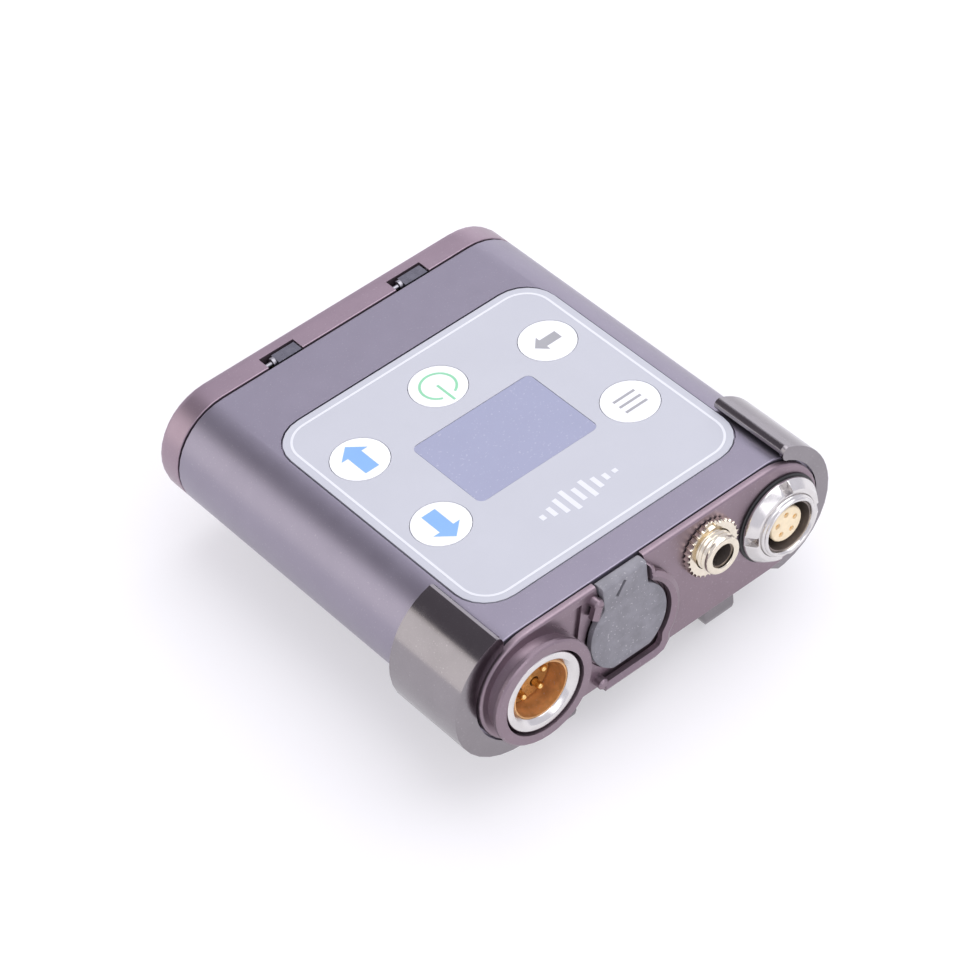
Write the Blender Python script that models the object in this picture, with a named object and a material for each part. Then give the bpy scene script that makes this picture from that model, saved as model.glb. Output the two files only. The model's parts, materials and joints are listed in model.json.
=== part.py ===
"""Wireless lavalier body-pack: the pocket transmitter that a lavalier microphone plugs into.

A flat aluminium tube closed by a connector panel at one end and a hinged battery door at the
other, with a membrane keypad on top and a spring belt clip underneath.

The model is drawn in the pack's own frame and in millimetres: X across the keypad, Y = 0 at the
battery door's seam with the connector panel towards -Y, and Z = 0 at the top face. An empty then
moves everything to the row's frame, metres, with the origin at the bottom centre.
"""
import bmesh
import bpy
from math import acos, asin, cos, degrees, pi, radians, sin
from mathutils import Matrix, Vector

MM = 0.001

# Driving dimensions, in millimetres
WIDTH = 59.2
CASE_X = -0.55
THICK = 17.4
WALL = 1.3
HALF = WIDTH / 2
ROUND = THICK / 2
MID_Z = -THICK / 2
SEAM_GAP = 0.3
BACK_SEAM = -0.17
HOUSING_BACK = BACK_SEAM - SEAM_GAP / 2
HOUSING_FRONT = -59.47
PANEL_BACK = HOUSING_FRONT - SEAM_GAP
FACE_Y = -60.75
PANEL_INSET = 1.4
DOOR_FRONT = BACK_SEAM + SEAM_GAP / 2
DOOR_BACK = 4.6
FIT = 0.15
THROUGH = (-70.0, -50.0)

# Keypad
PAD_SIZE = (44.64, 43.76)
PAD_CENTRE = (0.0, -32.6)
PAD_CORNER = 5.25
PAD_TOP = -0.05
PAD_THICK = 0.5
POCKET_FLOOR = -0.7
LCD_SIZE = (19.86, 14.1)
LCD_CENTRE = (0.0, -32.25)
KEY_RADIUS = 3.8
KEY_HOLE = 4.05
KEY_STEM = 1.5
STEM_END = -2.55
KEYS = {
    "key_power": (0.0, -18.65),
    "key_up": (-15.84, -22.11),
    "key_down": (-15.84, -38.55),
    "key_back": (15.84, -22.11),
    "key_menu": (15.84, -38.55),
}
BOARD_TOP = -4.05
BOARD_CORNERS = [(-12.2, -40.3), (12.2, -40.3), (-12.2, -11.0), (12.2, -11.0)]

# Connectors: centre across, centre height
MIC = (-20.49, MID_Z)
JACK = (8.85, -5.3)
TIMECODE = (20.53, MID_Z)
BOSS_FRONT = -63.29
BOSS_RADIUS = 7.77
MIC_INSERT_FRONT = -59.3
MIC_INSERT_BACK = -51.0
MIC_PIN_TIP = -60.8
MIC_PIN_CIRCLE = 2.3
JACK_FRONT = -63.86
TIMECODE_FRONT = -63.49
TIMECODE_CIRCLE = 1.55
TIMECODE_FIRST = 15.0

# Card cover
COVER = (-5.35, -9.0)
COVER_RADIUS = 6.3
COVER_FLAT = -14.5
COVER_FRONT = -61.65
COVER_BACK = -60.75
COVER_AXIS = (-60.4, -0.8)
TAB_HALF = 3.6

# Battery bay and door
CELL_X = 21.3
CELL_Z = -10.5
CELL_RADIUS = 5.25
CELL_LENGTH = 44.5
CELL_BACK = -1.5
DOOR_AXIS = (1.0, -0.7)
DOOR_WALL = 1.4
STRAP_X = (-10.05, 11.5)
NOTCH_CENTRE = (-10.8, 10.85)
STRAP_HALF = 1.9
NOTCH_HALF = 2.85

# Belt clip
CLIP_X = -1.15
CLIP_HALF = 31.2
CLIP_GAP = 0.25
CLIP_BACK = -47.3
CLIP_FRONT = -60.25
CLIP_TIPS = {1: 22.5, -1: -23.7}
TIP_BULGE = 0.95
CLIP_BASE = 1.4
EAR_X = (11.0, 16.0)
EAR_Y = (-58.0, -50.2)
REST_Z = -24.2
RELIEF_HALF = (26.0, 19.0)
CLIP_AXIS = (-52.5, -21.4)
PADDLE_HALF = 10.6
PADDLE_END = -7.0
PADDLE_THICK = 1.3

COLOURS = {
    "housing_violet": ((0.33, 0.30, 0.41), 0.35, 0.9),
    "panel_mauve": ((0.29, 0.23, 0.27), 0.4, 0.85),
    "overlay": ((0.60, 0.64, 0.75), 0.45, 0.0),
    "key_print": ((0.82, 0.85, 0.92), 0.4, 0.0),
    "lens": ((0.27, 0.30, 0.47), 0.15, 0.0),
    "rubber_grey": ((0.24, 0.24, 0.28), 0.7, 0.0),
    "clip_black": ((0.04, 0.04, 0.045), 0.25, 0.3),
    "nickel": ((0.80, 0.79, 0.77), 0.2, 1.0),
    "gold": ((0.86, 0.62, 0.26), 0.25, 1.0),
    "amber": ((0.40, 0.20, 0.05), 0.3, 0.0),
    "cream": ((0.86, 0.80, 0.66), 0.4, 0.0),
    "black_plastic": ((0.02, 0.02, 0.02), 0.5, 0.0),
    "steel": ((0.62, 0.62, 0.63), 0.3, 1.0),
    "board_green": ((0.03, 0.16, 0.08), 0.45, 0.0),
    "cell_wrap": ((0.12, 0.13, 0.16), 0.35, 0.2),
}


def clear_scene():
    for obj in list(bpy.data.objects):
        bpy.data.objects.remove(obj, do_unlink=True)


def material(name):
    found = bpy.data.materials.get(name)
    if found:
        return found
    colour, roughness, metallic = COLOURS[name]
    made = bpy.data.materials.new(name)
    made.use_nodes = True
    shader = made.node_tree.nodes["Principled BSDF"]
    shader.inputs["Base Color"].default_value = (*colour, 1.0)
    shader.inputs["Roughness"].default_value = roughness
    shader.inputs["Metallic"].default_value = metallic
    made.diffuse_color = (*colour, 1.0)
    return made


def finish(name, bm, finish_name, origin=(0.0, 0.0, 0.0)):
    """Turn a bmesh in millimetres into a named object whose origin lies at the point given."""
    bmesh.ops.remove_doubles(bm, verts=bm.verts, dist=1e-4)
    bmesh.ops.recalc_face_normals(bm, faces=bm.faces)
    bmesh.ops.transform(bm, matrix=Matrix.Translation(-Vector(origin)), verts=bm.verts)
    bmesh.ops.scale(bm, vec=(MM, MM, MM), verts=bm.verts)
    mesh = bpy.data.meshes.new(name)
    bm.to_mesh(mesh)
    bm.free()
    mesh.shade_smooth()
    mesh.set_sharp_from_angle(angle=radians(35))
    obj = bpy.data.objects.new(name, mesh)
    bpy.context.collection.objects.link(obj)
    obj.parent = bpy.data.objects["pack"]
    obj.location = Vector(origin) * MM
    if finish_name:
        mesh.materials.append(material(finish_name))
    else:
        obj.hide_render = True
        obj.display_type = "WIRE"
    return obj


def along(axis, first, second, depth):
    """Place an outline's two coordinates and its depth on the axes."""
    if axis == "X":
        return (depth, first, second)
    if axis == "Y":
        return (first, depth, second)
    return (first, second, depth)


def prism_mesh(outline, low, high, axis="Y"):
    bm = bmesh.new()
    ring = [bm.verts.new(along(axis, u, v, low)) for u, v in outline]
    face = bm.faces.new(ring)
    grown = bmesh.ops.extrude_face_region(bm, geom=[face])
    moved = [item for item in grown["geom"] if isinstance(item, bmesh.types.BMVert)]
    step = Vector(along(axis, 0.0, 0.0, high - low))
    bmesh.ops.translate(bm, vec=step, verts=moved)
    return bm


def round_rim(bm, axis, level, width, segments=3):
    """Round the edges that lie in the plane at this level of the axis."""
    index = "XYZ".index(axis)
    rim = [edge for edge in bm.edges if all(abs(vert.co[index] - level) < 1e-4 for vert in edge.verts)]
    bmesh.ops.bevel(bm, geom=rim, offset=width, segments=segments, profile=0.5, affect="EDGES")


def prism(name, outline, low, high, finish_name=None, axis="Y", rims=(), origin=(0.0, 0.0, 0.0)):
    bm = prism_mesh(outline, low, high, axis)
    for level, width in rims:
        round_rim(bm, axis, level, width)
    return finish(name, bm, finish_name, origin)


def block(name, x, y, z, finish_name=None, bevel=0.0, origin=(0.0, 0.0, 0.0)):
    outline = [(x[0], y[0]), (x[1], y[0]), (x[1], y[1]), (x[0], y[1])]
    bm = prism_mesh(outline, z[0], z[1], "Z")
    if bevel:
        bmesh.ops.bevel(bm, geom=bm.edges[:], offset=bevel, segments=2, profile=0.5, affect="EDGES")
    return finish(name, bm, finish_name, origin)


def turned(name, profile, centre, finish_name=None, axis="Y", steps=48, origin=(0.0, 0.0, 0.0)):
    """Turn a closed profile of (radius, along) points about a line through the centre."""
    bm = bmesh.new()
    base = [Vector(along(axis, centre[0] + radius, centre[1], depth)) for radius, depth in profile]
    verts = [bm.verts.new(point) for point in base]
    edges = [bm.edges.new((verts[i - 1], verts[i])) for i in range(len(verts))]
    line = Vector(along(axis, 0.0, 0.0, 1.0))
    hub = Vector(along(axis, centre[0], centre[1], 0.0))
    bmesh.ops.spin(bm, geom=verts + edges, cent=hub, axis=line, angle=2 * pi, steps=steps)
    return finish(name, bm, finish_name, origin)


def rod(name, radius, low, high, centre, finish_name=None, axis="Y", steps=32, edge=0.0):
    profile = [(0.0, low), (radius - edge, low), (radius, low + edge), (radius, high - edge)]
    profile += [(radius - edge, high), (0.0, high)]
    if not edge:
        profile = [(0.0, low), (radius, low), (radius, high), (0.0, high)]
    return turned(name, profile, centre, finish_name, axis, steps)


def boolean(target, tool, operation):
    modifier = target.modifiers.new(tool.name, "BOOLEAN")
    modifier.operation = operation
    modifier.solver = "EXACT"
    modifier.object = tool
    tool.hide_render = True
    tool.display_type = "WIRE"


def cut(target, *tools):
    for tool in tools:
        boolean(target, tool, "DIFFERENCE")


def weld(target, *tools):
    for tool in tools:
        boolean(target, tool, "UNION")


def arc(centre, radii, start, end, steps):
    """Points along an arc or an ellipse's quarter, angles in degrees from +first towards +second."""
    angles = [radians(start + (end - start) * i / steps) for i in range(steps + 1)]
    return [(centre[0] + radii[0] * cos(a), centre[1] + radii[1] * sin(a)) for a in angles]


def stadium(half, radius, steps=14):
    """The casing's section: two half rounds joined by flats."""
    right = arc((CASE_X + half - radius, MID_Z), (radius, radius), -90, 90, steps)
    left = arc((CASE_X + radius - half, MID_Z), (radius, radius), 90, 270, steps)
    return right + left


def rounded(centre, size, corner, steps=6):
    outline = []
    for turn, (sx, sy) in enumerate(((1, 1), (-1, 1), (-1, -1), (1, -1))):
        middle = (centre[0] + sx * (size[0] / 2 - corner), centre[1] + sy * (size[1] / 2 - corner))
        outline += arc(middle, (corner, corner), 90 * turn, 90 * turn + 90, steps)
    return outline


def make_housing():
    housing = prism("housing", stadium(HALF, ROUND, 18), HOUSING_FRONT, HOUSING_BACK, "housing_violet",
                    rims=((HOUSING_FRONT, 0.2), (HOUSING_BACK, 0.2)))
    bore = prism("housing_bore", stadium(HALF - WALL, ROUND - WALL), HOUSING_FRONT - 2, HOUSING_BACK + 2)
    pocket_size = (PAD_SIZE[0] + 0.46, PAD_SIZE[1] + 0.46)
    pocket_outline = rounded(PAD_CENTRE, pocket_size, PAD_CORNER + 0.23)
    pocket = prism("pad_pocket", pocket_outline, POCKET_FLOOR, 1.0, axis="Z")
    window_outline = rounded(LCD_CENTRE, (LCD_SIZE[0] + 0.5, LCD_SIZE[1] + 0.5), 1.2)
    window = prism("lens_window", window_outline, -3, 1, axis="Z")
    cut(housing, bore, pocket, window)
    for name, place in KEYS.items():
        cut(housing, rod(name + "_stem_hole", 2.1, -3, 1, place, axis="Z", steps=20))
    for index, (x, y) in enumerate(BOARD_CORNERS):
        post = rod(f"post_{index}", 2.0, -16.6, -11.2, (x, y), axis="Z", steps=20)
        hole = rod(f"post_hole_{index}", 0.9, -15.2, -10.8, (x, y), axis="Z", steps=16)
        weld(housing, post)
        cut(housing, hole)


def make_keypad():
    overlay = prism("keypad_overlay", rounded(PAD_CENTRE, PAD_SIZE, PAD_CORNER), PAD_TOP - PAD_THICK, PAD_TOP,
                    "overlay", axis="Z")
    cut(overlay, prism("overlay_window", rounded(LCD_CENTRE, LCD_SIZE, 1.0), -2, 1, axis="Z"))
    for name, place in KEYS.items():
        cut(overlay, rod(name + "_hole", KEY_HOLE, -2, 1, place, axis="Z", steps=28))
    lens_size = (LCD_SIZE[0] - 0.4, LCD_SIZE[1] - 0.4)
    prism("lcd_lens", rounded(LCD_CENTRE, lens_size, 0.8), -1.5, PAD_TOP - 0.05, "lens", axis="Z")
    x, y = LCD_CENTRE
    block("lcd_module", (x - 12, x + 12), (y - 9, y + 9), (BOARD_TOP + FIT, -1.7), "black_plastic", 0.2)
    for name, (x, y) in KEYS.items():
        make_key(name, x, y)
    block("keypad_board", (-22.5, 22.5), (-43.4, -6.0), (BOARD_TOP - 0.8, BOARD_TOP), "board_green")


def make_key(name, x, y):
    cap = PAD_TOP - 0.25
    profile = [(0.0, PAD_TOP), (KEY_RADIUS, PAD_TOP), (KEY_RADIUS, cap)]
    profile += [(KEY_STEM, cap), (KEY_STEM, STEM_END), (0.0, STEM_END)]
    turned(name, profile, (x, y), "key_print", "Z", 28, origin=(x, y, PAD_TOP))
    switch = block(name.replace("key", "switch"), (x - 2.2, x + 2.2), (y - 2.2, y + 2.2),
                   (BOARD_TOP + FIT, -3.1), "black_plastic", 0.15)
    weld(switch, turned(name + "_dome", [(0.0, -3.3), (1.6, -3.3), (1.6, -3.05), (0.9, -2.95), (0.0, -2.95)],
                        (x, y), None, "Z", 12))


def make_panel():
    half = HALF - PANEL_INSET
    panel = prism("connector_panel", stadium(half, ROUND, 18), FACE_Y, PANEL_BACK, "panel_mauve",
                  rims=((FACE_Y, 0.45),))
    spigot = prism("panel_spigot", stadium(HALF - WALL - 0.3, ROUND - WALL - 0.3), -57.8, PANEL_BACK - 0.3)
    flange = [(5.9, PANEL_BACK - 0.4), (7.2, PANEL_BACK - 0.4), (7.0, -61.5), (7.0, -62.1), (7.45, -62.35),
              (BOSS_RADIUS, -62.6), (BOSS_RADIUS, BOSS_FRONT + 0.25), (BOSS_RADIUS - 0.25, BOSS_FRONT),
              (5.9, BOSS_FRONT)]
    boss = turned("mic_boss", flange, MIC, steps=36)
    recess_outline = [(-16.6, -1.3), (-11.7, -1.3), (-12.3, -3.9), (-12.9, -6.6), (-14.2, -4.3)]
    recess = prism("panel_recess", recess_outline, FACE_Y - 1, FACE_Y + 0.45)
    weld(panel, spigot, boss, *make_ribs())
    cut(panel, recess)
    cut(panel, rod("mic_hole", 6.25, *THROUGH, MIC, steps=36))
    cut(panel, rod("jack_hole", 3.05, *THROUGH, JACK, steps=24))
    cut(panel, rod("timecode_hole", 4.8, *THROUGH, TIMECODE, steps=28))
    cut(panel, prism("cover_pocket", cover_outline(0.3), -70, FACE_Y + 0.45))
    x, z = COVER
    cut(panel, block("card_window", (x - 6.2, x + 6.2), THROUGH, (z - 1.1, z + 1.1)))
    slot_half = TAB_HALF + 0.3
    cut(panel, block("tab_slot", (x - slot_half, x + slot_half), (-70, PANEL_BACK + 0.4), (-1.95, 3)))


def cover_outline(grow=0.0):
    """The card cover's outline: a disc cut flat at the bottom, with a neck that runs up to the seam."""
    radius = COVER_RADIUS + grow
    x, z = COVER
    drop = (z - COVER_FLAT) + grow
    low = -90 + degrees(acos(drop / radius))
    neck = degrees(asin((TAB_HALF + grow) / radius))
    right = arc(COVER, (radius, radius), low, 90 - neck, 14)
    left = arc(COVER, (radius, radius), 90 + neck, 180 - low, 14)
    top = [(x + TAB_HALF + grow, -0.8), (x - TAB_HALF - grow, -0.8)]
    return right + top + left


def wire(name, path, radius, finish_name, resolution=1):
    """A round wire along a path, with closed ends."""
    curve = bpy.data.curves.new(name, "CURVE")
    curve.dimensions = "3D"
    curve.bevel_depth = radius * MM
    curve.bevel_resolution = resolution
    curve.use_fill_caps = True
    curve.materials.append(material(finish_name))
    spline = curve.splines.new("POLY")
    spline.points.add(len(path) - 1)
    for point, place in zip(spline.points, path):
        point.co = (place[0] * MM, place[1] * MM, place[2] * MM, 1.0)
    obj = bpy.data.objects.new(name, curve)
    bpy.context.collection.objects.link(obj)
    obj.parent = bpy.data.objects["pack"]
    return obj


def rib(name, path, radius=0.8, height=0.8):
    """A raised rib on the panel's face: a round bar along (x, z) points."""
    bar = wire(name, [(x, FACE_Y - height, z) for x, z in path], radius, "panel_mauve")
    mesh = bpy.data.meshes.new_from_object(bar.evaluated_get(bpy.context.evaluated_depsgraph_get()))
    bpy.data.objects.remove(bar, do_unlink=True)
    obj = bpy.data.objects.new(name, mesh)
    bpy.context.collection.objects.link(obj)
    obj.parent = bpy.data.objects["pack"]
    return obj


def make_ribs():
    x, z = COVER
    hoop = arc(COVER, (7.5, 7.5), 62, -42, 12)
    corner = [(x + 5.35, -15.3), (x + 4.6, -16.2)]
    bar = [(x + 3.4, -16.45), (x - 4.9, -16.45)]
    right_post = (x + 3.9, -1.95)
    left_post = (x - 4.5, -1.95)
    low_post = (x - 5.0, -15.9)
    walls = [rib("right_rib", [right_post] + hoop + corner + bar),
             rib("left_rib", [left_post, (-10.6, -3.9)])]
    for name, place in (("post_right", right_post), ("post_left", left_post), ("post_low", low_post)):
        tip = FACE_Y - 1.45
        profile = [(0.0, FACE_Y + 0.2), (0.8, FACE_Y + 0.2), (0.8, tip + 0.4), (0.55, tip + 0.1), (0.0, tip)]
        walls.append(turned(name, profile, place, steps=16))
    return walls


def make_card():
    x, z = COVER
    flap = prism("card_cover", cover_outline(), COVER_FRONT, COVER_BACK, "rubber_grey",
                 origin=(x, *COVER_AXIS))
    top = [(-61.65, -1.2), (-61.65, -0.35), (-61.4, -0.06), (-60.4, -0.05)]
    top += arc(COVER_AXIS, (0.75, 0.75), 75, -75, 8) + [(-60.6, -1.6), (-61.2, -1.9)]
    weld(flap, prism("cover_tab", top, x - TAB_HALF, x + TAB_HALF, axis="X"))
    socket = block("card_socket", (x - 7, x + 7), (-57.4, -43.0), (z - 0.85, z + 1.3), "steel", 0.1)
    cut(socket, block("card_slot", (x - 5.8, x + 5.8), (-60, -44.0), (z - 0.5, z + 0.8)))
    block("memory_card", (x - 5.5, x + 5.5), (-59.2, -44.2), (z - 0.3, z + 0.4), "black_plastic")


def make_mic_socket():
    face = BOSS_FRONT + 0.24
    shell = [(4.9, face), (5.75, face), (5.92, face + 0.16), (5.92, -50.5), (4.25, -50.5),
             (4.25, face + 0.55)]
    turned("mic_socket_shell", shell, MIC, "nickel", steps=36)
    insert = rod("mic_socket_insert", 4.05, MIC_INSERT_FRONT, MIC_INSERT_BACK, MIC, "amber", steps=24,
                 edge=0.15)
    for index in range(5):
        turn = radians(90 + 72 * index)
        place = (MIC[0] + MIC_PIN_CIRCLE * cos(turn), MIC[1] + MIC_PIN_CIRCLE * sin(turn))
        cut(insert, rod(f"pin_hole_{index}", 0.7, MIC_PIN_TIP, MIC_INSERT_BACK - 1.0, place, steps=12))
        rod(f"mic_pin_{index + 1}", 0.5, MIC_PIN_TIP, MIC_INSERT_BACK - 1.2, place, "gold", steps=10,
            edge=0.2)


def make_jack():
    x, z = JACK
    barrel = [(1.8, JACK_FRONT), (2.6, JACK_FRONT), (2.86, JACK_FRONT + 0.25), (2.86, -57.4), (1.8, -57.4)]
    turned("headphone_jack_barrel", barrel, JACK, "nickel", steps=28)
    teeth = 24
    outline = []
    for index in range(teeth * 2):
        radius = 4.35 if index % 2 else 4.0
        turn = pi * index / teeth
        outline.append((x + radius * cos(turn), z + radius * sin(turn)))
    nut = prism("headphone_jack_nut", outline, FACE_Y - 1.15, FACE_Y - FIT, "nickel")
    cut(nut, rod("jack_nut_bore", 3.0, *THROUGH, JACK, steps=28))
    cut(nut, block("spanner_notch", (x - 0.6, x + 0.6), (-70, FACE_Y - 0.6), (z, z + 6)))
    block("headphone_jack_body", (x - 4.2, x + 4.2), (-57.2, -44.2), (z - 2.9, z + 2.9), "black_plastic", 0.3)


def make_timecode_socket():
    x, z = TIMECODE
    front = TIMECODE_FRONT
    shell = [(0.0, -56.4), (3.78, -56.4), (3.78, front), (4.25, front), (4.6, front + 0.35), (4.6, -53.0),
             (0.0, -53.0)]
    turned("timecode_socket_shell", shell, TIMECODE, "nickel", steps=32)
    ring = [(4.78, FACE_Y - 0.45), (6.3, FACE_Y - 0.45), (6.3, FACE_Y - 0.9), (5.3, -62.85), (4.78, -62.85)]
    nut = turned("timecode_socket_nut", ring, TIMECODE, "nickel", steps=32)
    for index in range(4):
        turn = radians(5 + 90 * index)
        bar = block(f"nut_slot_{index}", (4.0, 8.0), (-70, -61.6), (-0.75, 0.75))
        bar.matrix_parent_inverse = Matrix.Identity(4)
        bar.location = Vector((x, 0.0, z)) * MM
        bar.rotation_euler = (0.0, turn, 0.0)
        cut(nut, bar)
    washer = [(4.8, FACE_Y - 0.32), (6.6, FACE_Y - 0.32), (6.6, FACE_Y - 0.1), (4.8, FACE_Y - 0.1)]
    turned("timecode_washer", washer, TIMECODE, "black_plastic", steps=32)
    insert = rod("timecode_insert", 2.65, -62.59, -56.6, TIMECODE, "cream", steps=24, edge=0.15)
    for index in range(5):
        turn = radians(TIMECODE_FIRST + 72 * index)
        place = (x + TIMECODE_CIRCLE * cos(turn), z + TIMECODE_CIRCLE * sin(turn))
        cut(insert, rod(f"contact_hole_{index}", 0.42, -64, -60.2, place, steps=10))


def make_electronics():
    board = block("main_board", (-14.3, 14.3), (-57.0, -8.0), (-11.05, -10.05), "board_green")
    for index, (x, y) in enumerate(BOARD_CORNERS):
        cut(board, rod(f"board_hole_{index}", 0.95, -13, -8, (x, y), axis="Z", steps=12))
        head = [(0.0, -14.6), (0.7, -14.6), (0.7, -9.9), (1.5, -9.9), (1.5, -9.4), (1.1, -9.1), (0.0, -9.1)]
        turned(f"board_screw_{index + 1}", head, (x, y), "steel", "Z", 12)
    block("shield_can", (-9.0, 9.0), (-38.0, -18.0), (-9.9, -7.2), "steel", 0.3)


def make_batteries():
    front = CELL_BACK - CELL_LENGTH
    for side, name in ((-1, "left"), (1, "right")):
        place = (CASE_X + side * CELL_X, CELL_Z)
        shoulder = CELL_BACK - 0.8
        cell = [(0.0, CELL_BACK), (1.9, CELL_BACK), (1.9, shoulder), (CELL_RADIUS - 0.4, shoulder),
                (CELL_RADIUS, shoulder - 0.4), (CELL_RADIUS, front + 0.3), (CELL_RADIUS - 0.3, front),
                (0.0, front)]
        turned(f"battery_{name}", cell, place, "cell_wrap", steps=24)
        inner, outer = CASE_X + side * 15.0, CASE_X + side * 15.8
        end = CASE_X + side * 25.0
        wall = [(inner, -2.0), (inner, -49.2), (end, -49.2), (end, -48.4), (outer, -48.4), (outer, -2.0)]
        prism(f"battery_bay_{name}", wall, -14.2, -5.3, "black_plastic", axis="Z")
        coil = [(3.2 - 1.1 * t / 30, 2 * pi * t / 12, front - 0.6 - 1.3 * t / 30) for t in range(31)]
        path = [(place[0] + r * cos(a), y, place[1] + r * sin(a)) for r, a, y in coil]
        wire(f"battery_spring_{name}", path, 0.25, "steel")


def make_door():
    door = prism("battery_door", stadium(HALF, ROUND, 18), DOOR_FRONT, DOOR_BACK, "panel_mauve",
                 rims=((DOOR_BACK, 1.5), (DOOR_FRONT, 0.15)), origin=(0.0, *DOOR_AXIS))
    cut(door, prism("door_hollow", stadium(HALF - DOOR_WALL, ROUND - DOOR_WALL), -1, DOOR_BACK - DOOR_WALL))
    plate = block("door_contact", (CASE_X - 25.0, CASE_X + 25.0), (1.2, 1.6), (-14.2, -6.8), "gold")
    for side, name in ((-1, "left"), (1, "right")):
        bump = [(0.0, 1.4), (1.8, 1.4), (1.5, 0.6), (0.0, 0.4)]
        weld(plate, turned(f"contact_bump_{name}", bump, (CASE_X + side * CELL_X, CELL_Z), steps=16))
    for name, strap_x, notch_x in zip(("left", "right"), STRAP_X, NOTCH_CENTRE):
        notch = (notch_x - NOTCH_HALF, notch_x + NOTCH_HALF)
        y, z = DOOR_AXIS
        cut(door, block(f"door_notch_{name}", notch, (-1, y + 1.2), (-3.2, 2)))
        cut(door, rod(f"door_pin_hole_{name}", 0.5, notch[0] - 1.2, notch[1] + 1.2, DOOR_AXIS, axis="X",
                      steps=16))
        rod(f"hinge_pin_{name}", 0.35, notch[0] - 1.0, notch[1] + 1.0, DOOR_AXIS, "steel", "X", 12, 0.08)
        knuckle = [(DOOR_FRONT, z - 0.5), (DOOR_FRONT, -0.1), (y + 0.78, -0.1), (y + 0.95, -0.27)]
        knuckle += arc(DOOR_AXIS, (0.95, 0.95), 0, -80, 5)
        knuckle += [(y - 0.1, -2.6), (-5.0, -2.6), (-5.0, -1.65), (DOOR_FRONT, -1.65)]
        strap = prism(f"hinge_strap_{name}", knuckle, strap_x - STRAP_HALF, strap_x + STRAP_HALF,
                      "black_plastic", axis="X")
        cut(strap, rod(f"strap_bore_{name}", 0.48, strap_x - 4, strap_x + 4, DOOR_AXIS, axis="X", steps=16))


def clip_outline(inner_half, inner_radius):
    """The belt clip's C-shaped section: thick bullnose tips on top, a flat base underneath."""
    reach = ROUND + CLIP_BASE
    rise = ROUND + 2.0
    outline = []
    for side in (1, -1):
        outer_x = CLIP_X + side * (CLIP_HALF - reach)
        inner_x = CASE_X + side * (inner_half - inner_radius)
        tip_x = CLIP_TIPS[side] + side * TIP_BULGE
        inner_start = acos(side * (tip_x - inner_x) / inner_radius)
        outer_start = acos(side * (tip_x - outer_x) / reach)
        tip_inner = MID_Z + inner_radius * sin(inner_start)
        tip_outer = MID_Z + rise * sin(outer_start)
        inside = [(inner_x + side * inner_radius * cos(t), MID_Z + inner_radius * sin(t))
                  for t in [-pi / 2 + (inner_start + pi / 2) * i / 16 for i in range(17)]]
        middle, bull = (tip_outer + tip_inner) / 2, (tip_outer - tip_inner) / 2
        nose = [(tip_x - side * TIP_BULGE * sin(t), middle - bull * cos(t))
                for t in [pi * i / 6 for i in range(1, 6)]]
        top = [(outer_x + side * reach * cos(t), MID_Z + rise * sin(t))
               for t in [outer_start * (1 - i / 10) for i in range(11)]]
        low = [(outer_x + side * reach * cos(t), MID_Z + reach * sin(t))
               for t in [-pi / 2 * i / 8 for i in range(1, 9)]]
        run = inside + nose + top + low
        outline += run if side == 1 else list(reversed(run))
    return outline


def make_clip():
    wrap = clip_outline(HALF + CLIP_GAP, ROUND + CLIP_GAP)
    bracket = prism("clip_bracket", wrap, -59.64, CLIP_BACK, "clip_black")
    lip = prism("clip_lip", clip_outline(HALF - PANEL_INSET + 0.3, ROUND + 0.3), CLIP_FRONT, -59.62)
    weld(bracket, lip)
    low, high = RELIEF_HALF
    relief = [(CASE_X - low, -22.0), (CASE_X + low, -22.0), (CASE_X + high, -17.0), (CASE_X - high, -17.0)]
    cut(bracket, prism("clip_front_relief", relief, -62.0, -58.9))
    for side, name in ((-1, "left"), (1, "right")):
        x = sorted((CLIP_X + side * EAR_X[0], CLIP_X + side * EAR_X[1]))
        bm = prism_mesh([(x[0], REST_Z), (x[1], REST_Z), (x[1], -18.2), (x[0], -18.2)], *EAR_Y, "Y")
        low = [edge for edge in bm.edges if all(vert.co.z < REST_Z + 0.01 for vert in edge.verts)]
        bmesh.ops.bevel(bm, geom=low, offset=1.9, segments=4, profile=0.5, affect="EDGES")
        weld(bracket, finish(f"clip_ear_{name}", bm, None))
    cut(bracket, rod("clip_pin_hole", 0.95, CLIP_X - 15.3, CLIP_X + 15.3, CLIP_AXIS, axis="X", steps=16))
    rod("clip_pin", 0.8, CLIP_X - 15.1, CLIP_X + 15.1, CLIP_AXIS, "steel", "X", 14, 0.15)
    make_paddle()
    turns = 3.25
    helix = [(CLIP_X - 2.2 + 4.4 * t / 39, 2 * pi * turns * t / 39 + pi / 2) for t in range(40)]
    coil = [(x, CLIP_AXIS[0] - 1.35 * cos(a), CLIP_AXIS[1] + 1.35 * sin(a)) for x, a in helix]
    upper = [(CLIP_X - 2.2, -47.8, -19.4)]
    lower = [(CLIP_X + 2.2, -47.0, -22.3)]
    wire("clip_spring", upper + coil + lower, 0.28, "steel")


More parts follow.
